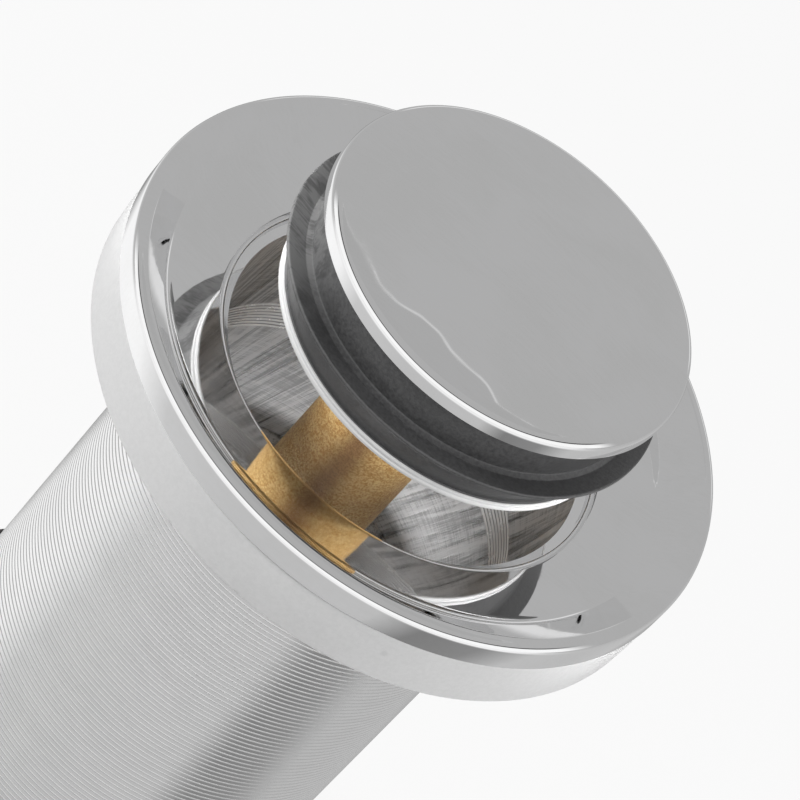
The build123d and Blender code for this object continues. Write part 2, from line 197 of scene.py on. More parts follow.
# Lathe marks: lines round the axis, drawn out along the turn, with a slant or, for marks along the axis, a twist
def makeTurnedMarks():
    group, given, result = newGroup(
        "turnedMarks", {"Reach": 0.6, "Fineness": 4.0, "Slant": 0.0, "Twist": 0.0, "Chatter": 0.4},
        ["Marks", "Patches"],
    )
    place = addNode(group, "ShaderNodeSeparateXYZ", {0: objectMillimetres(group)}).outputs
    radius = fromAxis(group, place)
    angle = calc(group, "ARCTAN2", place[0], place[1])
    along = calc(group, "ADD", calc(group, "ADD", place[2], radius),
                 calc(group, "MULTIPLY", angle, calc(group, "MULTIPLY", given["Slant"], radius)))
    twisted = calc(group, "MULTIPLY_ADD", place[2], given["Twist"], angle)
    across = [
        calc(group, "MULTIPLY", calc(group, wave, twisted), calc(group, "MULTIPLY", given["Reach"], radius))
        for wave in ("SINE", "COSINE")
    ]
    spot = addNode(group, "ShaderNodeCombineXYZ", {
        0: across[0], 1: across[1], 2: calc(group, "MULTIPLY", along, given["Fineness"]),
    }).outputs[0]
    lines = addNode(group, "ShaderNodeTexNoise", {"Vector": spot, "Scale": 1.0, "Detail": 4.0, "Roughness": 0.62})
    patches = addNode(group, "ShaderNodeTexNoise", {
        "Vector": addNode(group, "ShaderNodeVectorMath", {"Vector": spot, "Scale": 0.21}, operation="SCALE").outputs[0],
        "Scale": 1.0, "Detail": 2.0,
    })
    mixed = calc(group, "MULTIPLY_ADD", calc(group, "SUBTRACT", patches.outputs[0], 0.5), given["Chatter"],
                 lines.outputs[0])
    group.links.new(mixed, result["Marks"])
    group.links.new(patches.outputs[0], result["Patches"])
    return group


# Fine grain and scattered specks, for foam, rubber, plastic and the sleeve's granular brass
def makeGrain():
    group, given, result = newGroup("grain", {"Size": 0.3, "Spread": 2.0}, ["Grain", "Specks"])
    place = objectMillimetres(group)
    fine = addNode(group, "ShaderNodeTexNoise", {
        "Vector": place, "Scale": calc(group, "DIVIDE", 1.0, given["Size"]), "Detail": 3.0, "Roughness": 0.7,
    })
    cells = addNode(group, "ShaderNodeTexVoronoi", {
        "Vector": place, "Scale": calc(group, "DIVIDE", 1.0, given["Spread"]), "Randomness": 1.0,
    })
    near = ramp(group, cells.outputs["Distance"], 1.0, 0.0, 0.03, 0.09)
    group.links.new(fine.outputs[0], result["Grain"])
    group.links.new(near, result["Specks"])
    return group


# Soft smears and faint wipe marks, for polished chrome, machined brass and the painted light on the seal's pale side
def makeSmears():
    group, given, result = newGroup("smears", {"Size": 12.0, "Wipe": 0.5}, ["Smears", "Ripple"])
    place = objectMillimetres(group)
    wide = addNode(group, "ShaderNodeTexNoise", {
        "Vector": place, "Scale": calc(group, "DIVIDE", 1.0, given["Size"]), "Detail": 3.0, "Distortion": 0.6,
    })
    stretched = addNode(group, "ShaderNodeMapping", {
        "Vector": place, "Rotation": (0.3, 0.2, 0.7), "Scale": (0.25, 2.2, 1.0),
    })
    wipes = addNode(group, "ShaderNodeTexNoise", {"Vector": stretched.outputs[0], "Scale": 1.6, "Detail": 5.0})
    smear = calc(group, "MULTIPLY_ADD", calc(group, "SUBTRACT", wipes.outputs[0], 0.5), given["Wipe"],
                 wide.outputs[0])
    ripple = addNode(group, "ShaderNodeTexNoise", {"Vector": place, "Scale": 0.35, "Detail": 1.0})
    group.links.new(smear, result["Smears"])
    group.links.new(ripple.outputs[0], result["Ripple"])
    return group


turnedMarks = makeTurnedMarks()
grain = makeGrain()
smears = makeSmears()


def startMaterial(name, **sockets):
    material = bpy.data.materials.new(name)
    material.use_nodes = True
    tree = material.node_tree
    shader = tree.nodes["Principled BSDF"]
    for label, value in sockets.items():
        shader.inputs[label.replace("_", " ")].default_value = value
    return material, tree, shader


def bump(tree, shader, height, depth):
    made = addNode(tree, "ShaderNodeBump", {"Height": height, "Distance": depth * mm, "Strength": 1.0})
    tree.links.new(made.outputs[0], shader.inputs["Normal"])


def makePolishedChrome():
    # Mirror plate with the faintest smears
    material, tree, shader = startMaterial("polishedChrome", Metallic=1.0)
    marks = placeGroup(tree, smears, Size=9.0, Wipe=0.5)
    tree.links.new(blendColours(tree, ramp(tree, marks["Smears"], 0.0, 1.0, 0.3, 0.75),
                                (0.95, 0.95, 0.955, 1), (0.92, 0.92, 0.92, 1)), shader.inputs["Base Color"])
    tree.links.new(ramp(tree, marks["Smears"], 0.02, 0.07, 0.35, 0.8), shader.inputs["Roughness"])
    bump(tree, shader, marks["Ripple"], 0.004)
    return material


def makeTurnedChrome(name, colour, darker, rough, fineness, depth, reach=0.6, metal=1.0):
    # Faint lathe marks. A lower metal gives a paler look that depends less on reflections
    material, tree, shader = startMaterial(name, Metallic=metal)
    marks = placeGroup(tree, turnedMarks, Reach=reach, Fineness=fineness, Chatter=0.7)
    tree.links.new(blendColours(tree, ramp(tree, marks["Marks"], 0.0, 1.0, 0.3, 0.7), darker, colour),
                   shader.inputs["Base Color"])
    tree.links.new(ramp(tree, marks["Patches"], rough[0], rough[1], 0.3, 0.7), shader.inputs["Roughness"])
    bump(tree, shader, marks["Marks"], depth)
    return material


def makeBoreChrome():
    # Light and dark marks painted round and along the bore, because the photo shows both. The round ones follow the
    # lathe marks; the lengthwise streaks are a painted reflection
    material, tree, shader = startMaterial("boreChrome", Metallic=0.7)
    turned = placeGroup(tree, turnedMarks, Reach=0.25, Fineness=8.0, Slant=0.1, Chatter=0.3)
    lengthwiseStreaks = placeGroup(tree, turnedMarks, Reach=6.0, Fineness=0.35, Twist=-0.02, Chatter=1.5)
    both = calc(tree, "MULTIPLY_ADD", turned["Marks"], 0.45, calc(tree, "MULTIPLY", lengthwiseStreaks["Marks"], 0.55))
    tree.links.new(blendColours(tree, ramp(tree, both, 0.0, 1.0, 0.37, 0.63),
                                (0.44, 0.44, 0.442, 1), (0.93, 0.93, 0.932, 1)), shader.inputs["Base Color"])
    tree.links.new(ramp(tree, lengthwiseStreaks["Patches"], 0.26, 0.44, 0.3, 0.7), shader.inputs["Roughness"])
    bump(tree, shader, both, 0.05)
    return material


def makeGrooveChrome(spacing):
    # Light and dark stripes painted at the grooves' spacing: painted highlights and shade that show as the photo's
    # bright lines. They reach a little past the grooves
    material, tree, shader = startMaterial("grooveChrome", Metallic=0.5)
    marks = placeGroup(tree, turnedMarks, Reach=0.4, Fineness=1.0, Chatter=0.3)
    height = addNode(tree, "ShaderNodeSeparateXYZ", {0: objectMillimetres(tree)}).outputs[2]
    paintedHighlightStripes = ramp(tree, calc(tree, "SINE", calc(tree, "MULTIPLY", height, 2 * pi / spacing)), 0.0, 1.0, -0.1, 0.9)
    tree.links.new(blendColours(tree, paintedHighlightStripes, (0.36, 0.365, 0.37, 1), (1.0, 1.0, 1.0, 1)), shader.inputs["Base Color"])
    tree.links.new(ramp(tree, marks["Marks"], 0.18, 0.30, 0.3, 0.7), shader.inputs["Roughness"])
    bump(tree, shader, marks["Marks"], 0.01)
    return material


def makeSealRubber():
    # Dark rubber. The paler left side is painted light, to match the photo
    material, tree, shader = startMaterial("sealRubber", Specular_IOR_Level=1.0)
    marks = placeGroup(tree, grain, Size=0.35, Spread=2.5)
    smearNoise = placeGroup(tree, smears, Size=3.5, Wipe=0.8)
    side = addNode(tree, "ShaderNodeSeparateXYZ", {0: objectMillimetres(tree)}).outputs[0]
    # Painted light: paler towards the left side, mottled by smear noise
    paintedLightSide = calc(tree, "MULTIPLY", ramp(tree, side, 1.0, 0.0, -17.6, -9.0),
                 ramp(tree, smearNoise["Smears"], 0.25, 1.0, 0.3, 0.6))
    dark = blendColours(tree, ramp(tree, marks["Grain"], 0.0, 1.0, 0.3, 0.7),
                        (0.05, 0.05, 0.051, 1), (0.09, 0.09, 0.091, 1))
    tree.links.new(blendColours(tree, paintedLightSide, dark, (0.26, 0.26, 0.26, 1)), shader.inputs["Base Color"])
    tree.links.new(ramp(tree, marks["Grain"], 0.28, 0.42, 0.3, 0.7), shader.inputs["Roughness"])
    bump(tree, shader, marks["Grain"], 0.02)
    return material


def makeGranular(name, colour, darker, rough, size, depth, spread, specks):
    # Foam, rubber and plastic: fine grain, mottled colour and scattered specks
    material, tree, shader = startMaterial(name)
    marks = placeGroup(tree, grain, Size=size, Spread=spread)
    mottled = blendColours(tree, ramp(tree, marks["Grain"], 0.0, 1.0, 0.3, 0.7), darker, colour)
    speckled = blendColours(tree, calc(tree, "MULTIPLY", marks["Specks"], specks), mottled,
                            tuple(c * 0.35 for c in darker[:3]) + (1,))
    tree.links.new(speckled, shader.inputs["Base Color"])
    tree.links.new(ramp(tree, marks["Grain"], rough[0], rough[1], 0.3, 0.7), shader.inputs["Roughness"])
    bump(tree, shader, marks["Grain"], depth)
    return material


def makeMachinedBrass():
    # Cleanly machined brass with faint lathe lines
    material, tree, shader = startMaterial("machinedBrass", Metallic=0.6)
    marks = placeGroup(tree, turnedMarks, Reach=0.5, Fineness=3.0, Chatter=0.4)
    smearNoise = placeGroup(tree, smears, Size=7.0, Wipe=0.4)
    both = calc(tree, "MULTIPLY_ADD", marks["Marks"], 0.5, calc(tree, "MULTIPLY", smearNoise["Smears"], 0.5))
    tree.links.new(blendColours(tree, ramp(tree, both, 0.0, 1.0, 0.35, 0.65),
                                (0.74, 0.50, 0.23, 1), (0.90, 0.66, 0.34, 1)), shader.inputs["Base Color"])
    tree.links.new(ramp(tree, both, 0.24, 0.36, 0.3, 0.7), shader.inputs["Roughness"])
    bump(tree, shader, marks["Marks"], 0.012)
    return material


def makeBrass():
    # Unplated turned brass: granular sparkle over faint lathe lines, mostly plain colour and little metal
    material, tree, shader = startMaterial("turnedBrass", Metallic=0.15)
    marks = placeGroup(tree, turnedMarks, Reach=1.4, Fineness=3.2, Chatter=0.3)
    beads = placeGroup(tree, grain, Size=0.22, Spread=3.0)
    both = calc(tree, "MULTIPLY_ADD", beads["Grain"], 0.7, calc(tree, "MULTIPLY", marks["Marks"], 0.3))
    # Brown bands down the front and back, a painted dark reflection. The photo has one in front; here it is painted
    place = addNode(tree, "ShaderNodeSeparateXYZ", {0: objectMillimetres(tree)}).outputs
    facing = calc(tree, "ABSOLUTE", calc(tree, "SINE", calc(tree, "ARCTAN2", place[0], place[1])))
    awayFromReflectionBands = ramp(tree, facing, 0.0, 1.0, 0.0, 0.42)
    sparkle = ramp(tree, both, 0.0, 1.0, 0.40, 0.60)
    golden = blendColours(tree, sparkle, (0.66, 0.32, 0.08, 1), (1.0, 0.74, 0.34, 1))
    paintedReflectionBrown = blendColours(tree, sparkle, (0.30, 0.15, 0.055, 1), (0.46, 0.27, 0.12, 1))
    tree.links.new(blendColours(tree, awayFromReflectionBands, paintedReflectionBrown, golden), shader.inputs["Base Color"])
    tree.links.new(ramp(tree, both, 0.34, 0.50, 0.3, 0.7), shader.inputs["Roughness"])
    bump(tree, shader, both, 0.16)
    return material


# The bore's grooves and the painted highlight stripes on them
grooveSpacing = 0.5

finishes = {
    "polishedChrome": makePolishedChrome(),
    "boreChrome": makeBoreChrome(),
    "grooveChrome": makeGrooveChrome(grooveSpacing),
    # Nearly plain white with little metal: a painted highlight for the plate's edge
    "edgeChrome": makeTurnedChrome(
        "edgeChrome", grey(1.0), grey(0.95), (0.18, 0.26), 1.6, 0.002, 0.3, metal=0.1
    ),
    "threadChrome": makeTurnedChrome("threadChrome", grey(0.94), grey(0.90), (0.16, 0.22), 1.2, 0.002, 0.3),
    "turnedBrass": makeBrass(),
    "machinedBrass": makeMachinedBrass(),
    "springSteel": makeTurnedChrome(
        "springSteel", (0.60, 0.61, 0.62, 1), (0.48, 0.49, 0.50, 1), (0.28, 0.4), 3.0, 0.01
    ),
    "whiteFoam": makeGranular("whiteFoam", grey(0.80), grey(0.76), (0.62, 0.75), 0.5, 0.01, 6.0, 0.15),
    "sealRubber": makeSealRubber(),
    "gasketRubber": makeGranular(
        "gasketRubber", (0.035, 0.035, 0.036, 1), (0.022, 0.022, 0.023, 1), (0.5, 0.65), 0.4, 0.02, 3.0, 0.2
    ),
    "greyPlastic": makeGranular("greyPlastic", grey(0.55), grey(0.50), (0.42, 0.52), 0.5, 0.01, 4.0, 0.15),
    "blackPlastic": makeGranular(
        "blackPlastic", (0.045, 0.045, 0.047, 1), (0.03, 0.03, 0.032, 1), (0.36, 0.46), 0.4, 0.01, 4.0, 0.1
    ),
}
print("finishes made:", len(finishes))


# Body: dished flange, lip, grooved bore, outlet and the tail with its fine thread

body = {
    "height": 90.0, "flange": 32.0, "edgeRound": 1.0, "lowRound": 0.2,
    "dishEdge": (30.7, 90.0, 0.8), "floorEdge": (27.1, 86.95, 2.6), "lipBend": (21.0, 86.35, 1.5),
    "lip": 20.45, "lipTop": 85.95, "lipRound": 0.6,
    "bore": 19.5, "leadIn": 84.802, "grooveTop": 71.9, "grooveBottom": 68.3, "grooveDepth": 0.15,
    "grooveSpacing": grooveSpacing,
    "land": 44.0, "landRadius": 16.9, "landLow": 38.0, "outlet": 17.8,
    "ringsAbove": (80, 75), "ringsBelow": (60, 52), "outletRing": 20,
    "seat": (29.6, 86.65), "neck": 22.2, "under": 82.7, "washerLow": 80.4,
    "thread": 20.955, "pitch": 0.62, "grooveCut": 0.15, "crest": 0.42, "relief": (9.5, 10.5), "reliefRadius": 20.305,
    "chamfer": 0.8, "steps": 256, "threadSteps": 160, "seam": 0.02, "tailOutside": 20.0,
}


def threadedWall(bm, low, high, spec):
    # A zigzag strip climbs one pitch as it turns, and is cut off flat at both ends
    radius, pitch, depth, crest = spec["thread"], spec["pitch"], spec["grooveCut"], spec["crest"]
    strip = bmesh.new()
    count = int((high - low) / pitch) + 4
    profile = []
    for k in range(count):
        base = low - 2 * pitch + k * pitch
        profile += [(radius, base), (radius, base + crest), (radius - depth, base + (crest + pitch) / 2)]
    geom = startRing(strip, profile, closed=False)
    steps = spec["threadSteps"]
    bmesh.ops.spin(
        strip, geom=geom, cent=(0, 0, 0), axis=(0, 0, 1), dvec=(0, 0, pitch * mm / steps), angle=2 * pi, steps=steps
    )
    bmesh.ops.remove_doubles(strip, verts=strip.verts, dist=0.01 * mm)
    for height, side in ((low, -1), (high, 1)):
        geom = strip.verts[:] + strip.edges[:] + strip.faces[:]
        bmesh.ops.bisect_plane(
            strip, geom=geom, dist=0.0005 * mm, plane_co=(0, 0, height * mm), plane_no=(0, 0, side), clear_outer=True
        )
    mesh = bpy.data.meshes.new("strip")
    strip.to_mesh(mesh)
    strip.free()
    bm.from_mesh(mesh)
    bpy.data.meshes.remove(mesh)


def makeBody(spec):
    bm = bmesh.new()
    top, edgeRound, lowRound = spec["height"], spec["edgeRound"], spec["lowRound"]
    bore, spacing, thread, neck = spec["bore"], spec["grooveSpacing"], spec["thread"], spec["neck"]
    # At the chamfer and at the neck the thread is joined to the plain wall over this small gap
    seam = spec["seam"]
    deep = bore + spec["grooveDepth"]
    # Eight, 0.5 mm apart, from 71.9 to 68.0 mm. The CAD has six, 0.6 mm apart, from 71.75 to 68.45
    grooves = []
    height = spec["grooveTop"]
    while height > spec["grooveBottom"] - 0.01:
        grooves += [(bore, height), (deep, height - spacing * 0.3), (deep, height - spacing * 0.45),
                    (bore, height - spacing * 0.75)]
        height -= spacing
    # From the flange's lower edge over the face and down the bore to the outlet and the end's chamfer
    outside = [(neck, spec["under"]), spec["seat"]]
    outside += arcPoints((spec["flange"] - lowRound, spec["seat"][1] + lowRound), lowRound, -90, 0, 3)
    outside += arcPoints((spec["flange"] - edgeRound, top - edgeRound), edgeRound, 0, 90, 8)
    lipCorner = (spec["lip"], spec["lipTop"], spec["lipRound"])
    dish = [outside[-1], spec["dishEdge"], spec["floorEdge"], spec["lipBend"], lipCorner,
            (spec["lip"], spec["leadIn"] + 0.2)]
    outside += rounded(dish, 10)[1:]
    outside += [(bore, ring) for ring in (spec["leadIn"],) + spec["ringsAbove"]]
    outside += grooves
    outside += [(bore, ring) for ring in spec["ringsBelow"] + (spec["land"],)]
    outside += [(spec["landRadius"], spec["land"]), (spec["landRadius"], spec["landLow"]),
                (spec["outlet"], spec["landLow"]), (spec["outlet"], spec["outletRing"]), (spec["outlet"], 0),
                (thread - spec["chamfer"], 0), (thread - seam, spec["chamfer"] - seam)]
    turn(bm, outside, spec["steps"], closed=False)
    # Relief between the two stretches of thread, and the neck above them
    relief = spec["relief"]
    turn(bm, [(spec["reliefRadius"], relief[0]), (spec["reliefRadius"], relief[1])], spec["steps"], closed=False)
    turn(bm, [(thread + seam, spec["washerLow"] + seam), (neck, spec["washerLow"] + neck - thread),
              (neck, spec["under"])], spec["steps"], closed=False)
    bmesh.ops.remove_doubles(bm, verts=bm.verts, dist=weld)
    threadedWall(bm, spec["chamfer"], relief[0], spec)
    threadedWall(bm, relief[1], spec["washerLow"], spec)
    loops = [edge for edge in bm.edges if edge.is_boundary]
    joins = [
        (spec["chamfer"] - seam, spec["chamfer"]), (relief[0], relief[0]), (relief[1], relief[1]),
        (spec["washerLow"], spec["washerLow"] + seam),
    ]
    for low, high in joins:
        near = [
            edge for edge in loops
            if all(min(abs(v.co.z - low * mm), abs(v.co.z - high * mm)) < 2 * weld for v in edge.verts)
        ]
        bmesh.ops.bridge_loops(bm, edges=near)

    def paint(centre):
        radius = centre.xy.length
        if radius > spec["tailOutside"] and centre.z < spec["washerLow"] + 0.1:
            return 2
        if radius < bore + 0.2 and spec["grooveBottom"] - 0.6 < centre.z < spec["grooveTop"] + 0.3:
            return 3
        if radius < bore + 0.2 and centre.z < spec["leadIn"] - 0.2:
            return 1
        return 0

    kinds = ("polishedChrome", "boreChrome", "threadChrome", "grooveChrome")
    return finishMesh(
        bm, "wasteBody", [finishes[kind] for kind in kinds], "waste", ["waste_body"], paint=paint,
    )


wasteBody = makeBody(body)
print("body made:", len(wasteBody.data.polygons), "faces")


def turnedPiece(name, profile, finish, bodyName, nodes, steps=192, segments=4):
    bm = bmesh.new()
    turn(bm, rounded(profile, segments), steps)
    return finishMesh(bm, name, [finishes[finish]], bodyName, nodes)


# Soft washer under the flange, its corners a little rounded and its wall a touch full
washer = {
    "radius": 31.85, "low": 80.4, "high": 86.65, "round": 0.45, "bulge": 6,
    "topHole": 29.8, "hole": 22.4, "coneLow": 82.7,
}
turnedPiece("flangeWasher", [
    (washer["radius"] - 0.12, washer["low"], washer["round"]),
    (washer["radius"], (washer["low"] + washer["high"]) / 2, washer["bulge"]),
    (washer["radius"] - 0.06, washer["high"], 0.3),
    (washer["topHole"], washer["high"]), (washer["hole"], washer["coneLow"]), (washer["hole"], washer["low"], 0.3),
], "whiteFoam", "waste", ["flange_washer"])

# Gasket and slip washer on the lower tail
gasket = {"radius": 26.0, "hole": 21.105, "low": 18.3, "high": 22.3}
turnedPiece("basinGasket", [
    (gasket["hole"], gasket["low"], 0.25), (gasket["radius"], gasket["low"], 0.3),
    (gasket["radius"] - 0.1, gasket["high"], 2.0), (gasket["hole"], gasket["high"], 0.25),
], "gasketRubber", "nut_stack", ["basin_gasket"], segments=6)

slip = {"radius": 25.5, "hole": 21.055, "low": 17.1, "high": 18.3}
turnedPiece("slipWasher", [
    (slip["hole"], slip["low"], 0.15), (slip["radius"], slip["low"], 0.3),
    (slip["radius"], slip["high"], 0.3), (slip["hole"], slip["high"], 0.15),
], "greyPlastic", "nut_stack", ["slip_washer"])


# Plug: cap, seal, plate and sleeve
cap = {
    "radius": 19.55, "low": 102.7, "rim": 1.2, "round": 1.1, "chamfer": 0.12, "apex": 106.35,
    "boss": 6.0, "bossLow": 94.7, "bossChamfer": 0.3, "socket": 4.05, "socketTop": 101.5,
}


def capProfile(spec):
    # The dome runs smoothly into the rim's rounding
    corner = (spec["radius"] - spec["round"], spec["low"] + spec["rim"])
    rise = spec["apex"] - corner[1]
    domeRadius = (corner[0] ** 2 + rise ** 2 - spec["round"] ** 2) / (2 * (rise - spec["round"]))
    sweep = 90 - asin(corner[0] / (domeRadius - spec["round"])) * 180 / pi
    points = arcPoints((0, spec["apex"] - domeRadius), domeRadius, 90, sweep, 24)
    points[0] = (0, spec["apex"])
    points += arcPoints(corner, spec["round"], sweep, 0, 12)[1:]
    points += [(spec["radius"], spec["low"] + spec["chamfer"]), (spec["radius"] - spec["chamfer"], spec["low"]),
               (spec["boss"], spec["low"]), (spec["boss"], spec["bossLow"] + spec["bossChamfer"]),
               (spec["boss"] - spec["bossChamfer"], spec["bossLow"]), (spec["socket"], spec["bossLow"]),
               (spec["socket"], spec["socketTop"]), (0, spec["socketTop"])]
    return points


bm = bmesh.new()
turn(bm, capProfile(cap), 256, closed=False)
finishMesh(bm, "plugCap", [finishes["polishedChrome"]], "plug", ["plug_cap"])

seal = {
    "foot": 18.0, "hole": 12.0, "low": 93.4, "high": 102.7, "lipUnder": (18.6, 96.3, 0.4),
    "tip": 20.35, "tipLow": 97.3, "tipHigh": 97.75, "tipRound": 0.18,
    "neck": 17.8, "neckLow": 97.7, "neckHigh": 102.0, "lipInner": 97.42, "neckRound": 0.25,
}
turnedPiece("capSeal", [
    (seal["hole"], seal["low"]), (seal["foot"], seal["low"], 0.15), seal["lipUnder"],
    (seal["tip"], seal["tipLow"], seal["tipRound"]), (seal["tip"], seal["tipHigh"], seal["tipRound"]),
    (seal["neck"] + 0.55, seal["lipInner"], seal["neckRound"]), (seal["neck"], seal["neckLow"], seal["neckRound"]),
    (seal["neck"], seal["neckHigh"], 0.3), (seal["neck"] + 0.25, seal["high"], 0.0), (seal["hole"], seal["high"]),
], "sealRubber", "plug", ["cap_seal"])

plate = {
    "radius": 18.45, "hole": 4.1, "low": 92.4, "high": 93.4, "edgeRound": 0.22,
    "groove": (92.76, 92.86, 92.94, 93.04), "grooveRadius": 18.45 - 0.16, "edgeBand": 0.2,
}
turns = [(plate["radius"], 0.1), (plate["grooveRadius"], 0.04), (plate["grooveRadius"], 0.04), (plate["radius"], 0.1)]
sealPlate = turnedPiece("sealPlate", [
    (plate["hole"], plate["low"]), (plate["radius"], plate["low"], plate["edgeRound"]),
    *((radius, height, rounding) for height, (radius, rounding) in zip(plate["groove"], turns)),
    (plate["radius"], plate["high"], plate["edgeRound"]), (plate["hole"], plate["high"]),
], "polishedChrome", "plug", ["seal_plate"], steps=224)
# A paler, less metallic edge, a painted highlight to show as white as the photo's
sealPlate.data.materials.append(finishes["edgeChrome"])
for face in sealPlate.data.polygons:
    if face.center.xy.length > (plate["radius"] - plate["edgeBand"]) * mm:
        face.material_index = 1

sleeve = {
    "radius": 6.0, "low": 66.0, "high": 92.4, "bore": 4.9, "spigot": 4.0, "top": 101.0,
    "springBore": 4.5, "springLow": 73.85, "springTop": 90.8, "clipGroove": 5.25, "clipLow": 66.5, "clipHigh": 67.2,
}
turnedPiece("plugSleeve", [
    (sleeve["bore"], sleeve["low"], 0.1), (sleeve["radius"], sleeve["low"], 0.45),
    (sleeve["radius"], sleeve["high"]), (sleeve["spigot"], sleeve["high"]),
    (sleeve["spigot"], sleeve["top"], 0.5), (0, sleeve["top"]),
    (0, sleeve["springTop"]), (sleeve["springBore"], sleeve["springTop"]),
    (sleeve["springBore"], sleeve["springLow"]), (sleeve["bore"], sleeve["springLow"]),
    (sleeve["bore"], sleeve["clipHigh"]), (sleeve["clipGroove"], sleeve["clipHigh"]),
    (sleeve["clipGroove"], sleeve["clipLow"]), (sleeve["bore"], sleeve["clipLow"]),
], "turnedBrass", "plug", ["plug_sleeve"], steps=96)
print("plug made")


# CAD pieces that only need their edges eased: a merged copy gets a small bevel
def eased(node, name, finish, bodyName, width, angle=28):
    bm = bmesh.new()
    bm.from_mesh(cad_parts[node].data)
    bmesh.ops.remove_doubles(bm, verts=bm.verts, dist=0.001 * mm)
    bmesh.ops.dissolve_limit(bm, angle_limit=radians(1), verts=bm.verts, edges=bm.edges)
    hard = [e for e in bm.edges if len(e.link_faces) == 2 and e.calc_face_angle(0) > radians(angle)]
    bmesh.ops.bevel(
        bm, geom=hard, offset=width * mm, affect="EDGES", segments=2, profile=0.5, material=-1, clamp_overlap=True
    )
    bmesh.ops.triangulate(bm, faces=[f for f in bm.faces if len(f.verts) > 4])
    return finishMesh(bm, name, [finishes[finish]], bodyName, [node])


eased("back_nut", "backNut", "machinedBrass", "nut", 0.18)
eased("post_nut", "postNut", "machinedBrass", "waste", 0.12)
eased("bridge_insert", "bridgeInsert", "boreChrome", "waste", 0.12)
eased("bridge_ring", "bridgeRing", "boreChrome", "waste", 0.12)

# The spring is held at the plug end and shortens as the plug goes down. Here it only goes with the plug and gets its
# own copy of the mesh
bm = bmesh.new()
bm.from_mesh(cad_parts["return_spring"].data)
returnSpring = finishMesh(bm, "returnSpring", [finishes["springSteel"]], "plug", ["return_spring"], sharp=60)
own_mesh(returnSpring)

# Hidden CAD pieces keep their shape and take a finish
carried = {
    "cam_post": "machinedBrass",
    "post_washer": "springSteel", "thrust_washer": "springSteel", "sleeve_clip": "springSteel",
    "index_crown": "blackPlastic", "latch_rotor": "blackPlastic", "guide_bush": "blackPlastic",
    "seal_core": "greyPlastic",
}
for nodeName, finish in carried.items():
    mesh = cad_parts[nodeName].data
    mesh.materials.clear()
    mesh.materials.append(finishes[finish])
print("inner pieces dressed:", len(carried))


# Studio. Mirror-like surfaces see a floor and a sky patterned to match the photo's reflections from its own
# angle; all other light comes from a plain grey sky, the pale floor and the lamps

def makeFloor(spec):
    bm = bmesh.new()
    bmesh.ops.create_circle(bm, cap_ends=True, segments=96, radius=spec["radius"])
    mesh = bpy.data.meshes.new("floor")
    bm.to_mesh(mesh)
    bm.free()
    floor = bpy.data.objects.new("floor", mesh)
    bpy.context.scene.collection.objects.link(floor)
    floor.location.z = -spec["drop"]
    material = bpy.data.materials.new("paleFloor")
    material.use_nodes = True
    tree = material.node_tree
    tree.nodes.clear()
    path = addNode(tree, "ShaderNodeLightPath").outputs
    seen = directRays(tree, path)
    # Near the object the reflected floor is a ring of light and dark cards by direction, further off a plain blend
    place = addNode(tree, "ShaderNodeSeparateXYZ", {0: addNode(tree, "ShaderNodeTexCoord").outputs["Object"]}).outputs
    reach = fromAxis(tree, place)
    turned = calc(tree, "DIVIDE", calc(tree, "ADD", calc(tree, "ARCTAN2", place[1], place[0]), pi), 2 * pi)
    cards = addNode(tree, "ShaderNodeValToRGB", {0: turned})
    stops = cards.color_ramp.elements
    stops[0].position, stops[0].color = 0.0, grey(spec["left"])
    stops[1].position, stops[1].color = 1.0, grey(spec["left"])
    for position, level in spec["cards"]:
        stops.new(position).color = grey(level)
    outer = blendColours(tree, ramp(tree, place[1], 1.0, 0.0, -0.12, 0.10), grey(spec["back"]), grey(spec["front"]))
    mirrored = blendColours(tree, ramp(tree, reach, 0.0, 1.0, 0.16, 0.34), cards.outputs[0], outer)
    shown = blendColours(tree, path["Is Camera Ray"], mirrored, grey(1.0))
    lit = addNode(tree, "ShaderNodeBsdfDiffuse", {"Color": grey(spec["diffuse"])})
    glow = addNode(tree, "ShaderNodeEmission", {"Color": shown, "Strength": 1.0})
    share = calc(tree, "MULTIPLY", seen, spec["glow"])
    both = addNode(tree, "ShaderNodeMixShader", {0: share, 1: lit.outputs[0], 2: glow.outputs[0]})
    addNode(tree, "ShaderNodeOutputMaterial", {0: both.outputs[0]})
    mesh.materials.append(material)


studio = {
    "sky": 0.435, "front": 1.0, "slit": 0.03, "card": 0.41, "far": 0.75, "light": 0.33,
    "edgeHeight": 0.8025, "edgeTilt": -0.06, "waves": 62.0, "wavePhase": 0.6, "waveHeight": 0.0028,
    "endFrom": -0.10, "endCurve": 10.0, "endDrop": 0.035,
}


